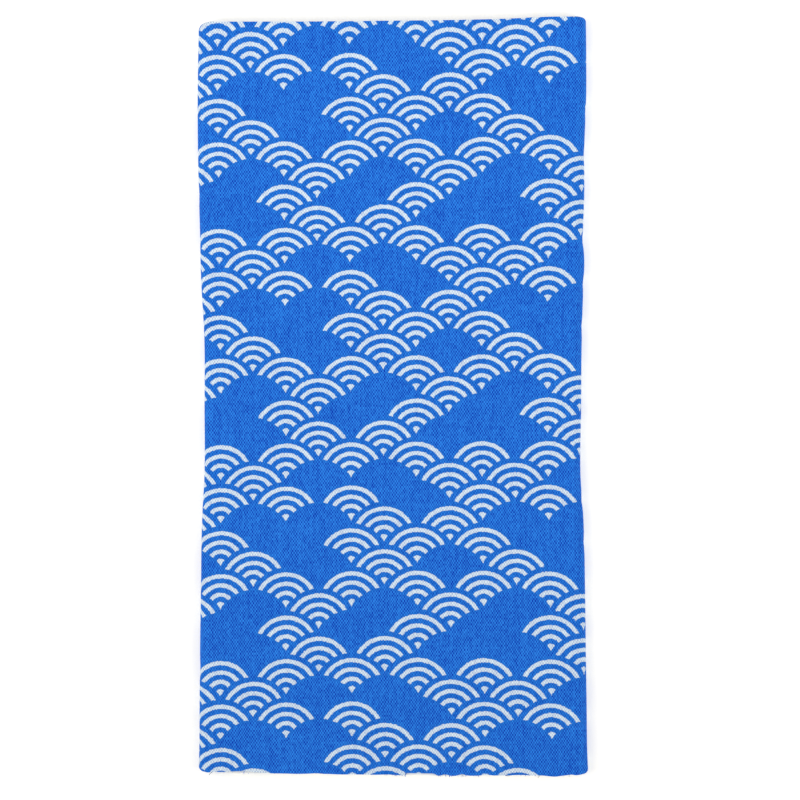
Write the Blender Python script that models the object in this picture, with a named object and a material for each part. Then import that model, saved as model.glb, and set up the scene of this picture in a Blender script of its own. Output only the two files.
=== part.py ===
"""A folded tenugui towel: one length of plain-woven cotton, folded into five panels and lying flat.

The origin is on the surface that the towel lies on, under its middle. X runs across the folded towel and
Y along it, in metres, with Z up. The cloth is one sheet. A line back and forth through five level panels
and four folds is its section, which is given the cloth's thickness and carried along the towel. Each panel
is folded round the ones before it, so the front meets a round fold at both sides.
"""
import math
from collections import namedtuple

import bmesh
import bpy
from mathutils import Vector

MM = 0.001

# The cloth, and how its layers lie on one another, in millimetres
CLOTH_THICK = 1.2
LAYER_PITCH = 1.9  # from the middle of one layer to the middle of the next, at the waist
PUFF = 0.13  # the layers lie further apart by this share, away from the waist
WAIST_AT = -5.0
WAIST_REACH = 55.0
RIPPLE = 0.025  # and by this share more or less, in slow waves
RIPPLE_ACROSS = 74.0
RIPPLE_ALONG = 118.0

# The folded towel from above, in millimetres: a row for each place along it, with its two folded sides
Side = namedtuple("Side", "along left right")
SIDES = [
    Side(176.4, -90.0, 89.5),
    Side(156.0, -90.4, 89.7),
    Side(136.0, -90.6, 89.6),
    Side(120.0, -90.5, 88.9),
    Side(92.0, -89.9, 88.7),
    Side(74.0, -89.4, 88.2),
    Side(62.0, -89.2, 88.8),
    Side(50.0, -88.7, 88.3),
    Side(31.0, -87.6, 87.7),
    Side(-5.0, -87.4, 87.3),
    Side(-41.0, -87.6, 87.2),
    Side(-51.0, -88.2, 88.0),
    Side(-64.0, -88.7, 88.6),
    Side(-88.0, -89.0, 89.1),
    Side(-113.0, -89.4, 89.4),
    Side(-148.0, -89.7, 89.9),
    Side(-165.0, -89.8, 90.1),
    Side(-176.4, -90.1, 90.6),
]

# Its two straight ends, where the cloth's long edges lie: a row for each place across it
End = namedtuple("End", "across top bottom")
ENDS = [
    End(-90.0, 173.9, -174.2),
    End(-80.0, 174.0, -174.9),
    End(-40.0, 174.1, -175.3),
    End(0.0, 174.5, -176.0),
    End(20.0, 174.7, -176.4),
    End(50.0, 175.3, -176.2),
    End(78.0, 176.4, -176.3),
    End(90.0, 176.2, -175.6),
]

# How far each corner is rounded, seen from above
CORNER = {("left", "top"): 3.5, ("right", "top"): 1.9, ("left", "bottom"): 2.3, ("right", "bottom"): 2.3}
CORNER_ROWS = (0.0, 0.5, 1.6)  # distances from an end where the rounding needs a row of its own

# The panels from the cloth's inner raw end to its outer one. layer counts up from the surface below, and
# top_in and bottom_in are how far the panel's ends lie inside the outline, since no fold is quite square.
Panel = namedtuple("Panel", "name layer top_in bottom_in")
PANELS = [
    Panel("innermost", 2, 1.4, 1.0),
    Panel("under the front", 3, 0.8, 0.0),
    Panel("over the back", 1, 1.1, 0.3),
    Panel("front", 4, 0.0, 0.4),
    Panel("back", 0, 0.5, 0.7),
]
SPANS_PER_PANEL = 5

# The folds between them. side says which way each one bulges, inset is how far its middle line lies inside
# the outline, and depth is how far it bulges past the panels' ends.
Fold = namedtuple("Fold", "side inset depth spans")
FOLDS = [
    Fold("left", 3.45, 0.95, 6),
    Fold("right", 3.8, 2.6, 8),
    Fold("left", 0.6, 3.4, 10),
    Fold("right", 0.6, 5.5, 12),
]
FIRST_END_INSET = 6.6  # the inner raw end lies this far inside the right side
LAST_END_INSET = 2.8  # and the outer one, at the back, this far inside the left side

# Dyed cotton
BLUE = (0.010, 0.127, 0.645, 1.0)
ROUGHNESS = 0.92
SHARP_ABOVE = 50.0  # degrees: the cloth's cut and woven edges stay crisp, and its folds are round


def between(table, place, column):
    """The column's value at this place, in a straight line between the table's rows."""
    rows = sorted(table)
    if place <= rows[0][0]:
        return getattr(rows[0], column)
    for low, high in zip(rows, rows[1:]):
        if place <= high[0]:
            share = (place - low[0]) / (high[0] - low[0])
            return getattr(low, column) * (1.0 - share) + getattr(high, column) * share
    return getattr(rows[-1], column)


def corner_cut(side, along):
    """How far a corner's rounding draws the side in at this place."""
    top = SIDES[0].along
    end = "top" if along > 0.0 else "bottom"
    radius = CORNER[side, end]
    into_corner = radius - (top - abs(along))
    if into_corner <= 0.0:
        return 0.0
    return radius - math.sqrt(max(radius**2 - into_corner**2, 0.0))


def side_at(side, along):
    """Where the outline's left or right side lies at this place along the towel."""
    inward = 1.0 if side == "left" else -1.0
    return between(SIDES, along, side) + inward * corner_cut(side, along)


def height(layer, across, along):
    """The height of the middle of a layer. The lowest layer lies level on the surface."""
    waist = math.exp(-(((along - WAIST_AT) / WAIST_REACH) ** 2))
    ripple = math.sin(math.tau * across / RIPPLE_ACROSS) * math.cos(math.tau * along / RIPPLE_ALONG)
    spread = 1.0 + PUFF * (1.0 - waist) + RIPPLE * (1.0 + ripple)
    return CLOTH_THICK / 2 + layer * LAYER_PITCH * spread


def fold_end(fold, along):
    """Where the panels that meet at a fold stop, and the fold's arc starts."""
    inward = 1.0 if fold.side == "left" else -1.0
    return side_at(fold.side, along) + inward * (fold.inset + fold.depth)


def section(along):
    """The sheet's middle line at one place: (across, height, top_in, bottom_in) for each of its points."""
    starts = [side_at("right", along) - FIRST_END_INSET] + [fold_end(fold, along) for fold in FOLDS]
    stops = starts[1:] + [side_at("left", along) + LAST_END_INSET]
    points = []
    for number, (panel, start, stop) in enumerate(zip(PANELS, starts, stops)):
        for step in range(SPANS_PER_PANEL + 1):
            across = start + (stop - start) * step / SPANS_PER_PANEL
            points.append((across, height(panel.layer, across, along), panel.top_in, panel.bottom_in))
        if number < len(FOLDS):
            points += arc(FOLDS[number], panel, PANELS[number + 1], along)
    return points


def arc(fold, panel, after, along):
    """The points of one fold, between its two ends."""
    outward = -1.0 if fold.side == "left" else 1.0
    start = fold_end(fold, along)
    leaves = height(panel.layer, start, along)
    joins = height(after.layer, start, along)
    points = []
    for step in range(1, fold.spans):
        share = step / fold.spans
        turn = math.pi * share
        across = start + outward * fold.depth * math.sin(turn)
        high = (leaves + joins) / 2 + (leaves - joins) / 2 * math.cos(turn)
        top_in = panel.top_in + (after.top_in - panel.top_in) * share
        bottom_in = panel.bottom_in + (after.bottom_in - panel.bottom_in) * share
        points.append((across, high, top_in, bottom_in))
    return points


def rows_along():
    """The places along the towel that have a row of points, from the bottom end to the top end."""
    top = SIDES[0].along
    places = {side.along for side in SIDES}
    places |= {top - distance for distance in CORNER_ROWS} | {distance - top for distance in CORNER_ROWS}
    places |= {top - max(CORNER.values()), max(CORNER.values()) - top}
    return sorted(places)


def thickened(line):
    """The line moved half the cloth's thickness to one side, and then back along its other side."""
    spans = [(after - before).normalized() for before, after in zip(line, line[1:])]
    shifts = []
    for before, after in zip(spans[:1] + spans, spans + spans[-1:]):
        across_line = (before + after).normalized().orthogonal()
        shifts.append(across_line * CLOTH_THICK / 2 / across_line.dot(before.orthogonal()))
    there = [point + shift for point, shift in zip(line, shifts)]
    back = [point - shift for point, shift in zip(line, shifts)]
    return there + back[::-1]


def outline_row(work, along):
    """A closed loop of points round the cloth's section, at one place along the towel."""
    points = section(along)
    share = (along + SIDES[0].along) / (2 * SIDES[0].along)
    places = []
    for across, _, top_in, bottom_in in points:
        upper = between(ENDS, across, "top") - top_in
        lower = between(ENDS, across, "bottom") + bottom_in
        places.append(lower + (upper - lower) * share)
    outline = thickened([Vector((across, high)) for across, high, _, _ in points])
    return [
        work.verts.new((point.x * MM, place * MM, point.y * MM))
        for point, place in zip(outline, places + places[::-1])
    ]


def folded_cloth():
    """The cloth as a closed mesh: its outline carried along the towel, and closed at both ends."""
    mesh = bpy.data.meshes.new("towel")
    work = bmesh.new()
    rows = [outline_row(work, along) for along in rows_along()]
    count = len(rows[0])
    for row, above in zip(rows, rows[1:]):
        for number in range(count):
            beside = (number + 1) % count
            work.faces.new((row[number], row[beside], above[beside], above[number]))
    for row in (rows[0], rows[-1]):
        for number in range(count // 2 - 1):
            work.faces.new((row[number], row[number + 1], row[-2 - number], row[-1 - number]))
    bmesh.ops.recalc_face_normals(work, faces=work.faces)
    work.to_mesh(mesh)
    work.free()
    return mesh


def dyed_cotton():
    """The towel's finish: a matt blue cotton."""
    material = bpy.data.materials.new("dyed cotton")
    material.use_nodes = True
    shader = material.node_tree.nodes["Principled BSDF"]
    shader.inputs["Base Color"].default_value = BLUE
    shader.inputs["Roughness"].default_value = ROUGHNESS
    shader.inputs["Metallic"].default_value = 0.0
    return material


def make_towel():
    """The one piece of cloth, folded."""
    towel = bpy.data.objects.new("towel", folded_cloth())
    bpy.context.scene.collection.objects.link(towel)
    towel.data.materials.append(dyed_cotton())
    towel.data.shade_smooth()
    towel.data.set_sharp_from_angle(angle=math.radians(SHARP_ABOVE))


for old in list(bpy.data.objects):
    bpy.data.objects.remove(old, do_unlink=True)
make_towel()
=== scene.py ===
"""The looks of a folded tenugui towel: a thin, plain-woven cotton cloth with a print of overlapping waves.

The cloth is one sheet, laid in the frame's five panels and four folds. Its waves are worked out from a
small chart, and go on round the folds as they do on a real length of cloth. Sizes are in millimetres.
"""
import math
import random
from collections import namedtuple

import bpy
import numpy as np
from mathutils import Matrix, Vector


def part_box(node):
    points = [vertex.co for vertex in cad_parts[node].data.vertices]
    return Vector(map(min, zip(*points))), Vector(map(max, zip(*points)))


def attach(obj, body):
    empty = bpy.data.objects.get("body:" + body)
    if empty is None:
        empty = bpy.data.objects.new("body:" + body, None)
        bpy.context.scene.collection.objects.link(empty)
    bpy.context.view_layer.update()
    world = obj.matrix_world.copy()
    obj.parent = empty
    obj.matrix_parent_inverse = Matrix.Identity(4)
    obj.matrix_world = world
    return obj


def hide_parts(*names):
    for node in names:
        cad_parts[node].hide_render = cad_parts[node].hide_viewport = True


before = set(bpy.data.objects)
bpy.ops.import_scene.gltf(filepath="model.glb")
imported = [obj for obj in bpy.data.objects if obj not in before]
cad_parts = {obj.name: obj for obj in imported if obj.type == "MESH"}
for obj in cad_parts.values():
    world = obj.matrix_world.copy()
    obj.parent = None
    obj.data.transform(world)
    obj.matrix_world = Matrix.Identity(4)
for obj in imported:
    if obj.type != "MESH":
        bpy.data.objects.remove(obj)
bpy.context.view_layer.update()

MM = 0.001

# The cloth. Its solid in the frame is thicker, and this sheet lies between that solid's lowest and highest
# faces, so its layers are further apart.
THICK = 0.8
SOLID_THICK = 1.2
SOLID_PITCH = 1.9  # from the middle of one layer of the solid to the middle of the next, at the waist
PUFF = 0.13  # the layers lie further apart by this share, away from the waist
WAIST_AT = -5.0
WAIST_REACH = 55.0
RIPPLE = 0.025  # and by this share more or less, in slow waves
RIPPLE_ACROSS = 74.0
RIPPLE_ALONG = 118.0
SHARP_ABOVE = 50.0  # degrees: the cut and woven edges stay crisp, and the folds are round

# The outline from above: its two folded sides, at places along the towel
Side = namedtuple("Side", "along left right")
SIDES = [
    Side(176.4, -90.0, 89.5),
    Side(156.0, -90.4, 89.7),
    Side(136.0, -90.6, 89.6),
    Side(120.0, -90.5, 88.9),
    Side(92.0, -89.9, 88.7),
    Side(74.0, -89.4, 88.2),
    Side(62.0, -89.2, 88.8),
    Side(50.0, -88.7, 88.3),
    Side(31.0, -87.6, 87.7),
    Side(-5.0, -87.4, 87.3),
    Side(-41.0, -87.6, 87.2),
    Side(-51.0, -88.2, 88.0),
    Side(-64.0, -88.7, 88.6),
    Side(-88.0, -89.0, 89.1),
    Side(-113.0, -89.4, 89.4),
    Side(-148.0, -89.7, 89.9),
    Side(-165.0, -89.8, 90.1),
    Side(-176.4, -90.1, 90.6),
]

# Its two straight ends, where the cloth's woven edges lie, at places across the towel
End = namedtuple("End", "across top bottom")
ENDS = [
    End(-90.0, 173.9, -174.2),
    End(-80.0, 174.0, -174.9),
    End(-40.0, 174.1, -175.3),
    End(0.0, 174.5, -176.0),
    End(20.0, 174.7, -176.4),
    End(50.0, 175.3, -176.2),
    End(78.0, 176.4, -176.3),
    End(90.0, 176.2, -175.6),
]

# How far each corner is rounded, seen from above
CORNER = {("left", "top"): 3.5, ("right", "top"): 1.9, ("left", "bottom"): 2.1, ("right", "bottom"): 1.8}

# The panels from the inner raw end to the outer one. layer counts up from the surface below, and top_in and
# bottom_in are how far the panel's ends lie inside the outline, or past it where they are below zero.
Panel = namedtuple("Panel", "name layer top_in bottom_in columns")
PANELS = [
    Panel("innermost", 2, 1.4, 1.0, 26),
    Panel("under the front", 3, 0.8, -0.05, 30),
    Panel("over the back", 1, 1.1, 0.3, 26),
    Panel("front", 4, -0.15, -0.25, 124),
    Panel("back", 0, 0.5, 0.7, 50),
]
FRONT = 3

# The folds between them. inset is how far the sheet's middle line lies inside the outline, or past it where
# it is below zero, and depth is how far the fold bulges past the panels' ends.
Fold = namedtuple("Fold", "side inset depth columns")
FOLDS = [
    Fold("left", 3.45, 0.95, 8),
    Fold("right", 3.8, 2.6, 12),
    Fold("left", 0.1, 3.4, 14),
    Fold("right", -0.05, 5.5, 18),
]
FIRST_END_INSET = 6.6  # the inner raw end lies this far inside the right side
LAST_END_INSET = 2.8  # and the outer one, at the back, this far inside the left side

# Rows of points along the towel: close together at its ends, where the corners are rounded
ROW_STEP = 2.75
END_ROWS = (0.0, 0.15, 0.4, 0.8, 1.3, 1.9, 2.7, 3.6)

# Small dents where a folded side draws in, each as deep as inward and reaching that far along the fold
Dent = namedtuple("Dent", "side along inward reach")
DENTS = [
    Dent("right", 133.0, 0.35, 3.0),
    Dent("right", 112.1, 0.3, 3.5),
    Dent("right", 72.6, 0.4, 3.0),
    Dent("right", 52.6, 0.35, 3.0),
    Dent("right", 32.2, 0.3, 2.5),
    Dent("right", -49.2, 0.4, 3.0),
    Dent("right", -68.8, 0.3, 3.0),
    Dent("left", 96.0, 0.25, 4.0),
    Dent("left", -128.0, 0.25, 4.0),
]

# Soft troughs in the front: each one's middle, its turn in degrees, and its length, width and depth
Crease = namedtuple("Crease", "across along turn length width depth")
CREASES = [
    Crease(80.0, 71.0, 8.0, 12.0, 2.4, 0.35),
    Crease(80.5, 51.5, -6.0, 11.0, 2.2, 0.3),
    Crease(79.0, -50.0, 10.0, 13.0, 2.6, 0.35),
    Crease(-80.0, 30.0, -12.0, 14.0, 3.0, 0.3),
    Crease(-80.0, -42.0, 9.0, 13.0, 3.0, 0.3),
    Crease(81.0, 131.0, -5.0, 9.0, 2.0, 0.25),
    Crease(-30.0, 34.0, 84.0, 16.0, 5.0, 0.2),
    Crease(34.0, -44.0, 97.0, 18.0, 5.0, 0.2),
]

# Slow uneven waves of the layers: how long each is across and along the towel, how far on it has moved from
# one layer to the next, and its share
Swell = namedtuple("Swell", "across along shift share")
SWELLS = [
    Swell(131.0, 213.0, 0.31, 0.45),
    Swell(-167.0, 89.0, 0.57, 0.35),
    Swell(47.0, -61.0, 0.73, 0.2),
]
WANDER = 0.38  # how far an inner layer strays up and down in them
FRONT_WANDER = 0.16  # and how far the front sinks

# The front's lower edge is drawn in here, so that the layer under it shows, and that layer lifts to meet it
NOTCH_FROM = 5.2
NOTCH_TO = 20.4
NOTCH_DEPTH = 1.15
NOTCH_SLOPE = 0.9  # it reaches its full depth over this distance, at both ends
NOTCH_LIFT = 0.85  # the layer under it lifts by this, and less away from it
NOTCH_LIFT_REACH = 11.0

# Shallow waves of the same edge. Each draws it in by inward, or lets it out where that is below zero.
Wave = namedtuple("Wave", "across inward reach")
EDGE_WAVES = [
    Wave(-70.0, 1.15, 9.0),
    Wave(-44.0, -0.2, 4.0),
    Wave(-35.5, 0.22, 2.2),
    Wave(-24.0, -0.15, 5.0),
    Wave(-2.5, 0.25, 3.2),
    Wave(24.3, 0.9, 1.6),
    Wave(32.2, 0.9, 1.9),
    Wave(43.5, 0.3, 2.6),
    Wave(60.0, 0.4, 5.0),
    Wave(68.5, 0.3, 2.5),
    Wave(75.5, -0.35, 2.6),
    Wave(83.0, 0.25, 2.2),
]

# The print: overlapping waves, each a fan of arcs, in a repeat of eight half columns and ten rows. Every
# second row stands half a column over, so a row of the chart has a place in every second column only.
HALF_COLUMN = 15.46
WAVE_ROW = 10.05
CHART = [
    "# # # # ",
    " #     #",
    "# # #   ",
    "     # #",
    "#   # # ",
    " #   #  ",
    "# # # # ",
    "   #   #",
    "  #   # ",
    "   # #  ",
]
ARC_WIDTH = 1.9
ARC_PITCH = 4.29
OUTER_ARC = 15.09  # radius of a fan
CORE = 2.2  # radius of the white at its foot
FAN_TIP = 1.5  # the core ends within this distance below the arcs' centre
ARC_GAP = 17.5  # the arcs stop this far from the centres of the two fans below them
CORE_GAP = 17.85  # and the core this far
CUT_ROUNDING = 0.3  # how softly both are cut off there
FAN_REACH = 16.5  # no fan reaches this far from its centre

# How the print lies on the folded cloth. It leans a little, and the cloth is drawn together at the waist,
# so its columns bend in there and its rows bow away from it. The sizes hold at the front's folds and ends.
PRINT_ACROSS = -81.45  # the first column's place, at the middle of the towel
PRINT_ALONG = 164.55  # the first row's place along the towel, at the middle of the front
PRINT_LEAN = 0.0041  # the columns go to the right by this for each millimetre down
COLUMN_DRIFT = 0.55  # and lie this far to the right of even places at both sides
WAIST_DRAW = 1.5
WAIST_SHIFT = 0.34
PRINT_WAIST = 100.0  # how far along the towel that is felt
ROW_CLIMB = 1.2  # the rows climb to the right by this at half height, and by twice this at the top
ROW_BOW = 1.5
ROW_SAG = 0.55
TOP_STRETCH = 1.7  # the cloth is drawn out by this at its top end, and less away from it
TOP_REACH = 14.0
LOWER_LIFT = 0.4  # and the rows below the waist lie this much higher
LOWER_AT = -88.0
LOWER_REACH = 42.0
PRINT_REACH_ACROSS = 90.0
PRINT_REACH_ALONG = 165.0
BARE_MARGIN = 2.2  # the print stops this short of the lower woven edge, away from the front
MARGIN_FROM = 95.0  # the margin grows from nothing this far round from the front's middle
MARGIN_FULL = 140.0  # to its full width here
MARGIN_CLEAR = 1.0  # and on the front it lies this far past the cloth

# The photograph's view, straight down at this point of the front
VIEW_CENTRE = (3.35, -1.79)
VIEW_WIDTH = 372.0
CAMERA_ABOVE = 3000.0
SENSOR = 36.0


def linear(text):
    """An sRGB hex colour as linear red, green, blue and alpha."""
    shares = [int(text[place:place + 2], 16) / 255 for place in (1, 3, 5)]
    return (*[s / 12.92 if s <= 0.04045 else ((s + 0.055) / 1.055) ** 2.4 for s in shares], 1.0)


def add(tree, kind, *inputs, sockets=None, **settings):
    """Adds a node with its settings. Its inputs, in order or by sockets, are values or what is linked."""
    made = tree.nodes.new(kind)
    for name, value in settings.items():
        setattr(made, name, value)
    for place, value in [*enumerate(inputs), *(sockets or {}).items()]:
        if isinstance(value, bpy.types.Node):
            value = value.outputs[0]
        if isinstance(value, bpy.types.NodeSocket):
            tree.links.new(value, made.inputs[place])
        elif value is not None:
            made.inputs[place].default_value = value
    return made


def curve_through(table, column, places):
    """The column's values at these places, on a smooth curve through the table's rows."""
    rows = sorted(table)
    known = np.array([row[0] for row in rows])
    values = np.array([getattr(row, column) for row in rows])
    slopes = np.gradient(values, known)
    after = np.clip(np.searchsorted(known, places), 1, len(rows) - 1)
    before = after - 1
    span = known[after] - known[before]
    s = np.clip((places - known[before]) / span, 0.0, 1.0)
    level = (2 * s**3 - 3 * s**2 + 1) * values[before] + (3 * s**2 - 2 * s**3) * values[after]
    bend = (s**3 - 2 * s**2 + s) * slopes[before] + (s**3 - s**2) * slopes[after]
    return level + span * bend


def side_at(side, along):
    """Where the left or right side lies, with its corners' rounding and its dents."""
    inward = 1.0 if side == "left" else -1.0
    at = curve_through(SIDES, side, along)
    for end, radius in (("top", CORNER[side, "top"]), ("bottom", CORNER[side, "bottom"])):
        from_end = SIDES[0].along - along * (1.0 if end == "top" else -1.0)
        into = np.clip(radius - from_end, 0.0, radius)
        at = at + inward * (radius - np.sqrt(radius**2 - into**2))
    for dent in DENTS:
        if dent.side == side:
            at = at + inward * dent.inward * np.exp(-(((along - dent.along) / dent.reach) ** 2))
    return at


def swell(across, along, layer):
    """Slow uneven waves between about -1 and 1, others for each layer."""
    level = 0.0
    for wave in SWELLS:
        turns = across / wave.across + along / wave.along + wave.shift * layer
        level = level + wave.share * np.sin(math.tau * turns)
    return level


def creased(across, along):
    """How deep the front's troughs are here."""
    depth = 0.0
    for crease in CREASES:
        turn = math.radians(crease.turn)
        right = across - crease.across
        up = along - crease.along
        lengthwise = right * math.cos(turn) + up * math.sin(turn)
        sideways = up * math.cos(turn) - right * math.sin(turn)
        away = (lengthwise / crease.length) ** 2 + (sideways / crease.width) ** 2
        depth = depth + crease.depth * np.exp(-away)
    return depth


def height(layer, across, along):
    """The height of the middle of a layer of the sheet. The lowest one lies level on the surface."""
    waist = np.exp(-(((along - WAIST_AT) / WAIST_REACH) ** 2))
    ripple = np.sin(math.tau * across / RIPPLE_ACROSS) * np.cos(math.tau * along / RIPPLE_ALONG)
    spread = 1.0 + PUFF * (1.0 - waist) + RIPPLE * (1.0 + ripple)
    top_layer = max(panel.layer for panel in PANELS)
    pitch = SOLID_PITCH * spread + (SOLID_THICK - THICK) / top_layer
    level = THICK / 2 + layer * pitch
    if layer == 0:
        return level
    if layer == top_layer - 1:
        beside = (across - (NOTCH_FROM + NOTCH_TO) / 2) / NOTCH_LIFT_REACH
        above = (along + SIDES[0].along) / NOTCH_LIFT_REACH
        level = level + NOTCH_LIFT * np.exp(-(beside**2) - above**2)
    if layer == top_layer:
        return level - creased(across, along) - FRONT_WANDER * (1.0 + swell(across, along, layer)) / 2
    return level + WANDER * swell(across, along, layer)


def fold_end(fold, along):
    """Where the panels that meet at a fold stop, and its arc starts."""
    inward = 1.0 if fold.side == "left" else -1.0
    return side_at(fold.side, along) + inward * (fold.inset + fold.depth)


def folded_section(along):
    """For each row and column of the sheet: its place across, its height, and how far the ends draw in."""
    starts = [side_at("right", along) - FIRST_END_INSET] + [fold_end(fold, along) for fold in FOLDS]
    stops = starts[1:] + [side_at("left", along) + LAST_END_INSET]
    blocks = []
    for number, (panel, start, stop) in enumerate(zip(PANELS, starts, stops)):
        share = np.linspace(0.0, 1.0, panel.columns + 1)[None, :]
        across = start + (stop - start) * share
        ones = np.ones_like(across)
        high = height(panel.layer, across, along)
        blocks.append((across, high, panel.top_in * ones, panel.bottom_in * ones))
        if number < len(FOLDS):
            fold = FOLDS[number]
            after = PANELS[number + 1]
            outward = -1.0 if fold.side == "left" else 1.0
            share = np.linspace(0.0, 1.0, fold.columns + 1)[None, 1:-1]
            across = stop + outward * fold.depth * np.sin(math.pi * share)
            leaves = height(panel.layer, stop, along)
            joins = height(after.layer, stop, along)
            high = (leaves + joins) / 2 + (leaves - joins) / 2 * np.cos(math.pi * share)
            ones = np.ones_like(across)
            top_in = (panel.top_in + (after.top_in - panel.top_in) * share) * ones
            bottom_in = (panel.bottom_in + (after.bottom_in - panel.bottom_in) * share) * ones
            blocks.append((across, high, top_in, bottom_in))
    return [np.concatenate(parts, axis=1) for parts in zip(*blocks)]


def rows_along():
    """The places along the towel that have a row of points."""
    top = SIDES[0].along
    inner = top - END_ROWS[-1]
    count = round(2 * inner / ROW_STEP)
    middle = np.linspace(-inner, inner, count + 1)
    ends = [top - distance for distance in END_ROWS[:-1]]
    return np.array(sorted([*middle, *ends, *[-place for place in ends]]))[:, None]


def first_column(number):
    """The first column of a panel."""
    before = sum(panel.columns + 1 for panel in PANELS[:number])
    return before + sum(fold.columns - 1 for fold in FOLDS[:number])


def print_places(around, along):
    """Where a spot of the cloth lies in the print: across and down from the first wave's centre."""
    right = np.clip(around / PRINT_REACH_ACROSS, -1.0, 1.0)
    up = np.clip(along / PRINT_REACH_ALONG, -1.0, 1.0)
    waist = np.exp(-(((along - WAIST_AT) / PRINT_WAIST) ** 2))
    drawn = (WAIST_SHIFT + WAIST_DRAW * right) * waist
    across = around - PRINT_ACROSS + PRINT_LEAN * along + drawn - COLUMN_DRIFT * right**2
    bow = (ROW_BOW * up - ROW_SAG) * right**2
    stretch = TOP_STRETCH * np.exp((along - SIDES[0].along) / TOP_REACH)
    lift = LOWER_LIFT * np.exp(-(((along - LOWER_AT) / LOWER_REACH) ** 2))
    down = PRINT_ALONG + ROW_CLIMB * right * (1.0 + up) + bow + stretch + lift - along
    return across, down


def drawn_in(lower, across):
    """The front's lower edge, with its notch and its shallow waves."""
    left_slope = np.clip((across - NOTCH_FROM) / NOTCH_SLOPE, 0.0, 1.0)
    right_slope = np.clip((NOTCH_TO - across) / NOTCH_SLOPE, 0.0, 1.0)
    lower = lower + NOTCH_DEPTH * left_slope * right_slope
    for wave in EDGE_WAVES:
        lower = lower + wave.inward * np.exp(-(((across - wave.across) / wave.reach) ** 2))
    return lower


def folded_places():
    """For each row and column of the sheet: its place across and along, its height, and how far round the
    cloth it lies, which on the front is nearly the same as its place across."""
    along = rows_along()
    across, high, top_in, bottom_in = folded_section(along)
    start = first_column(FRONT)
    front = slice(start, start + PANELS[FRONT].columns + 1)
    share = (along + SIDES[0].along) / (2 * SIDES[0].along)
    upper = curve_through(ENDS, "top", across) - top_in
    lower = curve_through(ENDS, "bottom", across) + bottom_in
    lower[:, front] = drawn_in(lower[:, front], across[:, front])
    length = lower + (upper - lower) * share

    steps = np.hypot(np.diff(across, axis=1), np.diff(high, axis=1))
    around = np.concatenate([np.zeros_like(along), np.cumsum(steps, axis=1)], axis=1)
    around = around - around[:, start:start + 1] + across[:, start:start + 1]
    return across, length, high, around


def lay_cloth():
    """The sheet: a flat grid, folded by moving its points, and then given its thickness."""
    across, length, high, around = folded_places()
    rows, columns = across.shape
    bpy.ops.object.select_all(action="DESELECT")
    bpy.ops.mesh.primitive_grid_add(x_subdivisions=columns - 1, y_subdivisions=rows - 1, size=1.0)
    cloth = bpy.context.object
    cloth.name = "folded_cloth"
    mesh = cloth.data
    mesh.name = "folded_cloth"
    flat = np.empty(len(mesh.vertices) * 3)
    mesh.vertices.foreach_get("co", flat)
    flat = flat.reshape(-1, 3)
    column = np.rint((flat[:, 0] + 0.5) * (columns - 1)).astype(int)
    row = np.rint((flat[:, 1] + 0.5) * (rows - 1)).astype(int)
    places = np.stack([across[row, column], length[row, column], high[row, column]], axis=1)
    mesh.vertices.foreach_set("co", (places * MM).ravel())

    corners = np.empty(len(mesh.loops), dtype=int)
    mesh.loops.foreach_get("vertex_index", corners)
    mesh.uv_layers.remove(mesh.uv_layers[0])
    printed = print_places(around, length)
    for name, (right, up) in (("cloth", (around, length)), ("print", printed)):
        pair = np.stack([right[row, column], up[row, column]], axis=1) * MM
        layer = mesh.uv_layers.new(name=name)
        layer.uv.foreach_set("vector", pair[corners].astype(np.float32).ravel())

    for material in (printed_cotton(), reverse_cotton(), woven_edge()):
        mesh.materials.append(material)
    thicken = cloth.modifiers.new("thickness", "SOLIDIFY")
    thicken.thickness = THICK * MM
    thicken.offset = 0.0
    thicken.material_offset = 1
    thicken.material_offset_rim = 2
    bpy.ops.object.modifier_apply(modifier=thicken.name)
    bpy.ops.object.shade_smooth_by_angle(angle=math.radians(SHARP_ABOVE))
    return cloth


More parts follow.
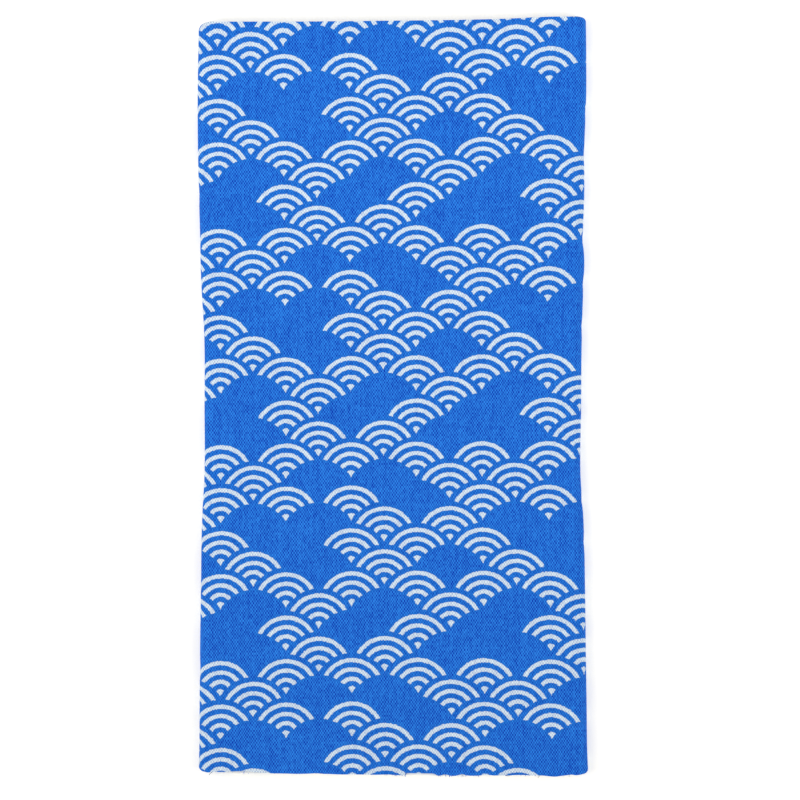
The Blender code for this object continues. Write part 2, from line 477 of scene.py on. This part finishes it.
def fan_group():
    """How far a place lies outside the white of a wave's fan, in millimetres. Of the two rows whose fans
    can reach the place, Row picks one, and that row's nearest fan is the only one that can."""
    tree = bpy.data.node_groups.new("wave fan", "ShaderNodeTree")
    tree.interface.new_socket("Across", in_out="INPUT", socket_type="NodeSocketFloat")
    tree.interface.new_socket("Down", in_out="INPUT", socket_type="NodeSocketFloat")
    tree.interface.new_socket("Row", in_out="INPUT", socket_type="NodeSocketFloat")
    tree.interface.new_socket("Outside", in_out="OUTPUT", socket_type="NodeSocketFloat")
    given = add(tree, "NodeGroupInput")
    past_tip = add(tree, "ShaderNodeMath", given.outputs["Down"], FAN_TIP, operation="SUBTRACT")
    in_rows = add(tree, "ShaderNodeMath", past_tip, WAVE_ROW, operation="DIVIDE")
    nearest = add(tree, "ShaderNodeMath", in_rows, operation="CEIL")
    row = add(tree, "ShaderNodeMath", nearest, given.outputs["Row"], operation="ADD")
    odd = add(tree, "ShaderNodeMath", row, 2.0, operation="FLOORED_MODULO")
    in_columns = add(tree, "ShaderNodeMath", given.outputs["Across"], HALF_COLUMN, operation="DIVIDE")
    from_odd = add(tree, "ShaderNodeMath", in_columns, odd, operation="SUBTRACT")
    pairs = add(tree, "ShaderNodeMath", from_odd, 2.0, operation="DIVIDE")
    whole = add(tree, "ShaderNodeMath", pairs, operation="ROUND")
    column = add(tree, "ShaderNodeMath", whole, 2.0, odd, operation="MULTIPLY_ADD")

    # The place from the fan's centre, with the right half folded on to the left
    across = given.outputs["Across"]
    down = given.outputs["Down"]
    beyond = add(tree, "ShaderNodeMath", column, -HALF_COLUMN, across, operation="MULTIPLY_ADD")
    aside = add(tree, "ShaderNodeMath", beyond, operation="ABSOLUTE")
    below = add(tree, "ShaderNodeMath", row, -WAVE_ROW, down, operation="MULTIPLY_ADD")
    place = add(tree, "ShaderNodeCombineXYZ", aside, below)
    away = add(tree, "ShaderNodeVectorMath", place, operation="LENGTH").outputs["Value"]
    next_fan = (HALF_COLUMN, WAVE_ROW, 0.0)
    beside = add(tree, "ShaderNodeVectorMath", place, next_fan, operation="DISTANCE").outputs["Value"]

    # The arcs end at the rim, and leave out the innermost one, where the core lies. Both are cut off beside
    # the fans below.
    outermost = OUTER_ARC - ARC_WIDTH / 2
    innermost = outermost - 2 * ARC_PITCH
    from_arc = add(tree, "ShaderNodeMath", away, outermost, operation="SUBTRACT")
    off_arc = add(tree, "ShaderNodeMath", from_arc, ARC_PITCH / 2, operation="PINGPONG")
    stripes = add(tree, "ShaderNodeMath", off_arc, ARC_WIDTH / 2, operation="SUBTRACT")
    past_rim = add(tree, "ShaderNodeMath", away, OUTER_ARC, operation="SUBTRACT")
    rimmed = add(tree, "ShaderNodeMath", stripes, past_rim, operation="MAXIMUM")
    short_of = add(tree, "ShaderNodeMath", innermost - ARC_WIDTH / 2, away, operation="SUBTRACT")
    arcs = add(tree, "ShaderNodeMath", rimmed, short_of, operation="MAXIMUM")
    arc_cut = add(tree, "ShaderNodeMath", ARC_GAP, beside, operation="SUBTRACT")
    cut_arcs = add(tree, "ShaderNodeMath", arcs, arc_cut, CUT_ROUNDING, operation="SMOOTH_MAX")
    core = add(tree, "ShaderNodeMath", away, CORE, operation="SUBTRACT")
    core_cut = add(tree, "ShaderNodeMath", CORE_GAP, beside, operation="SUBTRACT")
    cut_core = add(tree, "ShaderNodeMath", core, core_cut, CUT_ROUNDING, operation="SMOOTH_MAX")
    shape = add(tree, "ShaderNodeMath", cut_arcs, cut_core, operation="MINIMUM")

    # The chart: each row's fans are the bits of a whole number, held in a ramp with a step for each row
    steps = len(CHART)
    chart_row = add(tree, "ShaderNodeMath", row, steps, operation="FLOORED_MODULO")
    at = add(tree, "ShaderNodeMath", chart_row, 1.0 / steps, 0.5 / steps, operation="MULTIPLY_ADD")
    ramp = add(tree, "ShaderNodeValToRGB", at)
    ramp.color_ramp.interpolation = "CONSTANT"
    full = 2 ** len(CHART[0])
    for number, text in enumerate(CHART):
        bits = sum(2**place for place, mark in enumerate(text) if mark == "#") / full
        stops = ramp.color_ramp.elements
        stop = stops[number] if number < 2 else stops.new(number / steps)
        stop.position = number / steps
        stop.color = (bits, bits, bits, 1.0)
    bits = add(tree, "ShaderNodeMath", ramp, full, 0.5, operation="MULTIPLY_ADD")
    chart_column = add(tree, "ShaderNodeMath", column, len(CHART[0]), operation="FLOORED_MODULO")
    power = add(tree, "ShaderNodeMath", 2.0, chart_column, operation="POWER")
    shifted = add(tree, "ShaderNodeMath", bits, power, operation="DIVIDE")
    floor = add(tree, "ShaderNodeMath", shifted, operation="FLOOR")
    present = add(tree, "ShaderNodeMath", floor, 2.0, operation="FLOORED_MODULO")
    absent = add(tree, "ShaderNodeMath", 1.0, present, operation="SUBTRACT")
    outside = add(tree, "ShaderNodeMath", absent, FAN_REACH, shape, operation="MULTIPLY_ADD")
    add(tree, "NodeGroupOutput", outside)
    return tree


# The weave. Its threads are 0.62 mm apart across the towel and 0.665 mm along it. The second is drawn
# coarser, because crossings that small would blur into one another at the photograph's size.
WEFT_PITCH = 0.62
WARP_PITCH = 0.9
WEAVE_SHADE_CHEQUER = 0.55  # painted shade of the weave: how strongly the crossings are light on top and dark in the gaps between them, by turns
STRAY = 0.9  # the threads stray from even places by up to half of this
STRAY_SCALE = 5.0
SLUB = 26.0  # a thick or a thin stretch of a yarn is about this long
YARN_STEP = 7.3  # how far apart the yarns lie in the noise, so that no two are alike
PATCH = 22.0  # and a patch of cloth that took the dye alike is about this wide
CROSSING_SHARE = 0.42  # how much lighter or darker each of these makes a thread
WEFT_SHARE = 0.5
WARP_SHARE = 0.2
PATCH_SHARE = 0.1
CROSSING_HIGH = 0.25  # and how much higher or lower
WEFT_HIGH = 0.5
THREAD_RELIEF = 0.12
THREAD_BUMP = 0.35
PRINT_SOFT = 0.12  # how softly the print's edge ends
WOBBLE = 0.2  # and how far it strays, because the colour follows the threads


def cotton_group():
    """The weave and the print of the cloth, for its face and its reverse alike: how light the threads are,
    with the shade between them painted in, how high they stand, how far a place lies outside the white, and
    how far above the undyed margin."""
    tree = bpy.data.node_groups.new("printed weave", "ShaderNodeTree")
    for name in ("Light", "Height", "Outside", "Undyed"):
        tree.interface.new_socket(name, in_out="OUTPUT", socket_type="NodeSocketFloat")
    cloth = add(tree, "ShaderNodeUVMap", uv_map="cloth")
    in_mm = (1 / MM, 1 / MM, 1 / MM)
    cloth_mm = add(tree, "ShaderNodeVectorMath", cloth, in_mm, operation="MULTIPLY")
    stray = add(tree, "ShaderNodeTexNoise", cloth_mm, sockets={"Scale": 1 / STRAY_SCALE, "Detail": 1.0})
    reach = (STRAY, STRAY, 0.0)
    strayed = add(
        tree, "ShaderNodeVectorMath", stray.outputs["Color"], reach, cloth_mm, operation="MULTIPLY_ADD"
    )

    # Plain weave: weft and warp are on top by turns, with painted shade that makes each thread's top light
    # and the gaps between dark, and each crossing takes the dye a little differently
    per_thread = (1 / WEFT_PITCH, 1 / WARP_PITCH, 1.0)
    threads = add(tree, "ShaderNodeVectorMath", strayed, per_thread, operation="MULTIPLY")
    half_turn = (math.pi, math.pi, 0.0)
    angle = add(tree, "ShaderNodeVectorMath", threads, half_turn, operation="MULTIPLY")
    sines = add(tree, "ShaderNodeVectorMath", angle, operation="SINE")
    both = add(tree, "ShaderNodeSeparateXYZ", sines)
    chequer = add(tree, "ShaderNodeMath", both.outputs["X"], both.outputs["Y"], operation="MULTIPLY")
    numbers = add(tree, "ShaderNodeVectorMath", threads, operation="FLOOR")
    crossing = add(tree, "ShaderNodeTexWhiteNoise", numbers, noise_dimensions="2D").outputs["Value"]

    # Uneven yarn: each thread has its own thick and thin stretches
    number = add(tree, "ShaderNodeSeparateXYZ", numbers)
    place = add(tree, "ShaderNodeSeparateXYZ", cloth_mm)
    weft_row = add(tree, "ShaderNodeMath", number.outputs["X"], YARN_STEP, operation="MULTIPLY")
    warp_row = add(tree, "ShaderNodeMath", number.outputs["Y"], YARN_STEP, operation="MULTIPLY")
    weft_at = add(tree, "ShaderNodeMath", place.outputs["Y"], 1 / SLUB, operation="MULTIPLY")
    warp_at = add(tree, "ShaderNodeMath", place.outputs["X"], 1 / SLUB, operation="MULTIPLY")
    weft_place = add(tree, "ShaderNodeCombineXYZ", weft_row, weft_at)
    warp_place = add(tree, "ShaderNodeCombineXYZ", warp_at, warp_row)
    weft = add(tree, "ShaderNodeTexNoise", weft_place, sockets={"Scale": 1.0, "Detail": 1.0})
    warp = add(tree, "ShaderNodeTexNoise", warp_place, sockets={"Scale": 1.0, "Detail": 1.0})
    patches = add(tree, "ShaderNodeTexNoise", cloth_mm, sockets={"Scale": 1 / PATCH, "Detail": 2.0})
    # the chequer puts the weave's light tops and shaded gaps into the colour, as painted shade
    light = add(tree, "ShaderNodeMath", chequer, WEAVE_SHADE_CHEQUER, 0.5, operation="MULTIPLY_ADD")
    shares = ((crossing, CROSSING_SHARE), (weft, WEFT_SHARE), (warp, WARP_SHARE), (patches, PATCH_SHARE))
    for noise, share in shares:
        centred = add(tree, "ShaderNodeMath", noise, 0.5, operation="SUBTRACT")
        light = add(tree, "ShaderNodeMath", centred, share, light, operation="MULTIPLY_ADD")
    high = add(tree, "ShaderNodeMath", chequer, CROSSING_HIGH, 0.5, operation="MULTIPLY_ADD")
    high = add(tree, "ShaderNodeMath", weft, WEFT_HIGH, high, operation="MULTIPLY_ADD")

    # The print, which stops short of the lower woven edge except on the front
    printed = add(tree, "ShaderNodeUVMap", uv_map="print")
    print_mm = add(tree, "ShaderNodeVectorMath", printed, in_mm, operation="MULTIPLY")
    places = add(tree, "ShaderNodeSeparateXYZ", print_mm)
    fan = fan_group()
    across = places.outputs["X"]
    down = places.outputs["Y"]
    fans = [add(tree, "ShaderNodeGroup", across, down, row, node_tree=fan) for row in (0.0, 1.0)]
    waves = add(tree, "ShaderNodeMath", *fans, operation="MINIMUM")
    around = add(tree, "ShaderNodeMath", place.outputs["X"], operation="ABSOLUTE")
    lowest = min(end.bottom for end in ENDS)
    margin = add(
        tree, "ShaderNodeMapRange", around, MARGIN_FROM, MARGIN_FULL,
        lowest - MARGIN_CLEAR, lowest + BARE_MARGIN,
    )
    bare = add(tree, "ShaderNodeMath", place.outputs["Y"], margin, operation="SUBTRACT")
    outside = add(tree, "ShaderNodeMath", waves, bare, operation="MINIMUM")
    wobble = add(tree, "ShaderNodeMath", crossing, 0.5, operation="SUBTRACT")
    outside = add(tree, "ShaderNodeMath", wobble, 2 * WOBBLE, outside, operation="MULTIPLY_ADD")
    add(tree, "NodeGroupOutput", light, high, outside, bare)
    return tree


# Screen-printed cotton: the blue is in the fibres of the face, and matt
BLUE_DARK = "#002EA8"
BLUE_LIGHT = "#308CEF"
BLUE_NEAR = "#166EC8"  # between a fan's arcs the blue is a little duller, where less of it took
WHITE_DARK = "#A9B9D8"
WHITE_LIGHT = "#E7F6FA"
UNDYED = "#FFFFFC"  # the bare margin was never under the paste and the dye, and is a cleaner white
NEAR_REACH = 1.3  # the duller blue starts this far from the white
NEAR_FULL = 0.3  # and is there in full this close to it
NEAR_SHARE = 0.55
UNDYED_SOFT = 0.2  # how softly the cleaner white begins
UNDYED_SHARE = 0.9
COTTON_ROUGHNESS = 0.88
COTTON_SPECULAR = 0.1
FUZZ = 0.03  # a faint sheen, from the short fibres that stand up out of the threads
FUZZ_ROUGHNESS = 0.4
REVERSE_FADED = 0.38  # this share of the blue has not come through to the reverse
EDGE_FADED = 0.25  # and this share is missing at the cut and woven edges

# Sockets of a Mix node that mixes colours
COLOUR_A = 6
COLOUR_B = 7
MIXED = 2


def cotton(name, faded):
    """A side of the printed cloth. faded is how much of the blue has not come through to it."""
    material = bpy.data.materials.new(name)
    material.use_nodes = True
    tree = material.node_tree
    shader = tree.nodes["Principled BSDF"]
    shader.inputs["Roughness"].default_value = COTTON_ROUGHNESS
    shader.inputs["Specular IOR Level"].default_value = COTTON_SPECULAR
    shader.inputs["Sheen Weight"].default_value = FUZZ
    shader.inputs["Sheen Roughness"].default_value = FUZZ_ROUGHNESS
    group = bpy.data.node_groups.get("printed weave") or cotton_group()
    weave = add(tree, "ShaderNodeGroup", node_tree=group)
    light = weave.outputs["Light"]
    outside = weave.outputs["Outside"]
    near = add(tree, "ShaderNodeMapRange", outside, NEAR_REACH, NEAR_FULL, 0.0, NEAR_SHARE)
    ground = add(
        tree, "ShaderNodeMix", light, data_type="RGBA",
        sockets={COLOUR_A: linear(BLUE_DARK), COLOUR_B: linear(BLUE_LIGHT)},
    )
    blue = add(
        tree, "ShaderNodeMix", near, data_type="RGBA",
        sockets={COLOUR_A: ground.outputs[MIXED], COLOUR_B: linear(BLUE_NEAR)},
    )
    white = add(
        tree, "ShaderNodeMix", light, data_type="RGBA",
        sockets={COLOUR_A: linear(WHITE_DARK), COLOUR_B: linear(WHITE_LIGHT)},
    )
    bare = weave.outputs["Undyed"]
    undyed = add(tree, "ShaderNodeMapRange", bare, UNDYED_SOFT, -UNDYED_SOFT, 0.0, UNDYED_SHARE)
    white = add(
        tree, "ShaderNodeMix", undyed, data_type="RGBA",
        sockets={COLOUR_A: white.outputs[MIXED], COLOUR_B: linear(UNDYED)},
    )
    amount = add(
        tree, "ShaderNodeMapRange", outside, -PRINT_SOFT, PRINT_SOFT, 0.0, 1.0 - faded,
        interpolation_type="SMOOTHSTEP",
    )
    colour = add(
        tree, "ShaderNodeMix", amount, data_type="RGBA",
        sockets={COLOUR_A: white.outputs[MIXED], COLOUR_B: blue.outputs[MIXED]},
    )
    tree.links.new(colour.outputs[MIXED], shader.inputs["Base Color"])
    bump = add(tree, "ShaderNodeBump", sockets={"Height": weave.outputs["Height"]})
    bump.inputs["Strength"].default_value = THREAD_BUMP
    bump.inputs["Distance"].default_value = THREAD_RELIEF * MM
    tree.links.new(bump.outputs["Normal"], shader.inputs["Normal"])
    return material


def printed_cotton():
    """The face of the cloth."""
    return cotton("screen-printed cotton", 0.0)


def reverse_cotton():
    """The reverse, where the print has come through more weakly."""
    return cotton("reverse of the printed cotton", REVERSE_FADED)


def woven_edge():
    """The cut and woven edges, where the yarn shows its undyed middle."""
    return cotton("edge of the printed cotton", EDGE_FADED)


# Loose yarn ends at the lower edge: where each leaves the cloth and how high, and where it ends
Yarn = namedtuple("Yarn", "across along high to_across to_along to_high kind")
LOOSE_YARNS = [
    Yarn(-82.4, -174.4, 8.2, -85.7, -176.5, 6.0, "dark"),
    Yarn(51.0, -175.4, 7.0, 54.4, -177.0, 4.5, "dark"),
    Yarn(71.0, -175.6, 7.2, 67.5, -178.0, 3.2, "dark"),
    Yarn(82.0, -176.0, 5.0, 82.6, -177.3, 3.9, "grey"),
    Yarn(2.8, -174.9, 9.2, 4.6, -176.2, 8.4, "blue"),
    Yarn(4.2, -174.9, 9.3, 5.8, -175.8, 8.8, "blue"),
]
YARN_RADIUS = {"dark": 0.16, "grey": 0.17, "blue": 0.17, "white": 0.17}
YARN_SPANS = 4
YARN_BEND = 0.12  # how far a yarn bends aside, as a share of its length
YARN_ARCH = 0.15  # and upwards
YARN_TAPER = 0.45  # and how much thinner it gets
YARN_ROUGHNESS = 0.95
YARN_FLECKS = 1200.0  # lighter and darker flecks in a metre
STEP_LEAST = 0.6  # torn ends and fringe are spaced unevenly, from this share of their step
STEP_MOST = 1.4  # to this one

# Short torn ends along the lower edge, in stretches. white is the share of them that is white.
Ragged = namedtuple("Ragged", "start stop step shortest longest white")
RAGGED = [
    Ragged(-88.0, -12.0, 2.3, 0.1, 0.55, 0.15),
    Ragged(-10.5, 0.0, 0.9, 0.15, 0.6, 0.4),
    Ragged(0.0, 6.5, 0.55, 0.3, 1.0, 0.2),
    Ragged(20.0, 40.5, 0.62, 0.3, 1.1, 0.6),
    Ragged(41.0, 88.0, 1.9, 0.1, 0.6, 0.2),
]
RAGGED_INSIDE = 0.8  # each starts this far inside the edge
RAGGED_HEIGHTS = (6.9, 9.0)  # in one of the two upper layers
RAGGED_LEAN = 0.4
RAGGED_DROP = 0.5
RAGGED_SEED = 7

# The fringe of the outer raw end, at the back's left
FRINGE_INSIDE = 0.5
FRINGE_HIGH = 0.25
FRINGE_LEAN = 0.5
FRINGE_TO = 172.0
FRINGE_STEP = 1.1
FRINGE_SHORTEST = 0.3
FRINGE_LONGEST = 1.5
FRINGE_WHITE = 0.3
FRINGE_SEED = 11


def yarn_material(name, dark, pale):
    """Loose cotton yarn: soft, matt and a little uneven along its length."""
    material = bpy.data.materials.new(name)
    material.use_nodes = True
    tree = material.node_tree
    shader = tree.nodes["Principled BSDF"]
    shader.inputs["Roughness"].default_value = YARN_ROUGHNESS
    place = add(tree, "ShaderNodeTexCoord")
    noise = add(
        tree, "ShaderNodeTexNoise", place.outputs["Object"], sockets={"Scale": YARN_FLECKS, "Detail": 2.0}
    )
    colour = add(
        tree, "ShaderNodeMix", noise, data_type="RGBA",
        sockets={COLOUR_A: linear(dark), COLOUR_B: linear(pale)},
    )
    tree.links.new(colour.outputs[MIXED], shader.inputs["Base Color"])
    return material


def yarn_curve(name, yarns, radius, material):
    """Short yarns as tubes, each with a slight bend, in one mesh."""
    curve = bpy.data.curves.new(name, "CURVE")
    curve.dimensions = "3D"
    curve.bevel_depth = radius * MM
    curve.bevel_resolution = 1
    curve.use_fill_caps = True
    for yarn in yarns:
        start = Vector((yarn.across, yarn.along, yarn.high))
        end = Vector((yarn.to_across, yarn.to_along, yarn.to_high))
        reach = end - start
        bend = Vector((YARN_BEND * reach.y, -YARN_BEND * reach.x, YARN_ARCH * reach.length))
        spline = curve.splines.new("POLY")
        spline.points.add(YARN_SPANS)
        for number, point in enumerate(spline.points):
            share = number / YARN_SPANS
            at = start.lerp(end, share) + bend * math.sin(math.pi * share)
            point.co = (*(at * MM), 1.0)
            point.radius = 1.0 - YARN_TAPER * share
    curve.materials.append(material)
    made = bpy.data.objects.new(name, curve)
    bpy.context.scene.collection.objects.link(made)
    return made


def ragged_yarns():
    """Short torn ends along the lower edge, white and blue by turns, closer together in some stretches."""
    chance = random.Random(RAGGED_SEED)
    yarns = []
    for stretch in RAGGED:
        across = stretch.start
        while across < stretch.stop:
            lower = float(curve_through(ENDS, "bottom", np.array([across]))[0])
            kind = "white" if chance.random() < stretch.white else "blue"
            reach = chance.uniform(stretch.shortest, stretch.longest)
            high = chance.choice(RAGGED_HEIGHTS)
            lean = chance.uniform(-RAGGED_LEAN, RAGGED_LEAN)
            end = (across + lean, lower - reach, high - chance.uniform(0.0, RAGGED_DROP))
            yarns.append(Yarn(across, lower + RAGGED_INSIDE, high, *end, kind))
            across += stretch.step * chance.uniform(STEP_LEAST, STEP_MOST)
    return yarns


def raw_end_yarns():
    """The fringe of the outer raw end, where the cut cloth frays a little at the back's left."""
    chance = random.Random(FRINGE_SEED)
    yarns = []
    along = -FRINGE_TO
    while along < FRINGE_TO:
        end = float(side_at("left", np.array([along]))[0]) + LAST_END_INSET
        kind = "white" if chance.random() < FRINGE_WHITE else "blue"
        reach = chance.uniform(FRINGE_SHORTEST, FRINGE_LONGEST)
        lean = chance.uniform(-FRINGE_LEAN, FRINGE_LEAN)
        start = end + FRINGE_INSIDE
        yarns.append(Yarn(start, along, THICK / 2, end - reach, along + lean, FRINGE_HIGH, kind))
        along += FRINGE_STEP * chance.uniform(STEP_LEAST, STEP_MOST)
    return yarns


def loose_yarns():
    """All the loose yarn at the lower edge and the raw end, in one piece."""
    kinds = {
        "dark": yarn_material("loose blue-green cotton yarn", "#14404C", "#2C6B78"),
        "grey": yarn_material("loose undyed cotton yarn", "#9AA8A4", "#D5DDD8"),
        "blue": yarn_material("loose blue cotton yarn", BLUE_DARK, BLUE_LIGHT),
        "white": yarn_material("loose white cotton yarn", WHITE_DARK, WHITE_LIGHT),
    }
    every = LOOSE_YARNS + ragged_yarns() + raw_end_yarns()
    made = []
    for kind, material in kinds.items():
        yarns = [yarn for yarn in every if yarn.kind == kind]
        made.append(yarn_curve("loose_yarn_" + kind, yarns, YARN_RADIUS[kind], material))
    bpy.ops.object.select_all(action="DESELECT")
    for piece in made:
        piece.select_set(True)
    bpy.context.view_layer.objects.active = made[0]
    bpy.ops.object.convert(target="MESH")
    bpy.ops.object.join()
    bpy.ops.object.shade_smooth()
    joined = bpy.context.object
    joined.name = "loose_yarns"
    return joined


# A studio floor of matt white paper, lit a little from below, so that it stays nearly white
FLOOR_SIZE = 6.0  # metres
FLOOR_WHITE = "#FAF7EE"
FLOOR_ROUGHNESS = 0.9
FLOOR_SPECULAR = 0.1
FLOOR_GLOW = 0.3
FLOOR_GLOW_COLOUR = (1.0, 0.98, 0.94, 1.0)


def white_floor():
    """A plain pale floor."""
    bpy.ops.object.select_all(action="DESELECT")
    bpy.ops.mesh.primitive_plane_add(size=FLOOR_SIZE, location=(0.0, 0.0, 0.0))
    floor = bpy.context.object
    floor.name = "floor"
    material = bpy.data.materials.new("white paper")
    material.use_nodes = True
    shader = material.node_tree.nodes["Principled BSDF"]
    shader.inputs["Base Color"].default_value = linear(FLOOR_WHITE)
    shader.inputs["Roughness"].default_value = FLOOR_ROUGHNESS
    shader.inputs["Specular IOR Level"].default_value = FLOOR_SPECULAR
    shader.inputs["Emission Color"].default_value = FLOOR_GLOW_COLOUR
    shader.inputs["Emission Strength"].default_value = FLOOR_GLOW
    floor.data.materials.append(material)
    return floor


# The lamps' places and sizes are in metres, and their power in watts
Lamp = namedtuple("Lamp", "name place size power colour")
LAMPS = [
    Lamp("left softbox", (-0.85, 0.07, 0.92), 1.0, 3.95, "#FFFDFA"),
    Lamp("right softbox", (0.85, 0.07, 0.92), 1.0, 3.05, "#FAFCFF"),
]
LAMP_AIM = (0.0, 0.55, 0.0)
LAMP_SPREAD = 115.0  # degrees
SKY = 0.54  # how strongly the white room shines


def studio_light():
    """Two large soft lamps with grids, aimed beyond the towel's upper end, and an even white room."""
    for lamp in LAMPS:
        data = bpy.data.lights.new(lamp.name, "AREA")
        data.shape = "SQUARE"
        data.size = lamp.size
        data.spread = math.radians(LAMP_SPREAD)
        data.energy = lamp.power
        data.color = linear(lamp.colour)[:3]
        placed = bpy.data.objects.new(lamp.name, data)
        placed.location = lamp.place
        placed.rotation_euler = (Vector(lamp.place) - Vector(LAMP_AIM)).to_track_quat("Z", "Y").to_euler()
        bpy.context.scene.collection.objects.link(placed)
    world = bpy.data.worlds.new("white room")
    world.use_nodes = True
    world.node_tree.nodes["Background"].inputs["Color"].default_value = (1.0, 1.0, 1.0, 1.0)
    world.node_tree.nodes["Background"].inputs["Strength"].default_value = SKY
    bpy.context.scene.world = world
    bpy.context.scene.view_settings.view_transform = "Standard"


def camera_above():
    """The photograph's view, straight down."""
    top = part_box("towel")[1].z
    data = bpy.data.cameras.new("camera")
    data.sensor_width = SENSOR
    data.lens = SENSOR * CAMERA_ABOVE / VIEW_WIDTH
    camera = bpy.data.objects.new("camera", data)
    camera.location = (VIEW_CENTRE[0] * MM, VIEW_CENTRE[1] * MM, top + CAMERA_ABOVE * MM)
    bpy.context.scene.collection.objects.link(camera)
    bpy.context.scene.camera = camera


towel = lay_cloth()
yarns = loose_yarns()
floor = white_floor()
studio_light()
camera_above()

for piece in (towel, yarns):
    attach(piece, "root")
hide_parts("towel")
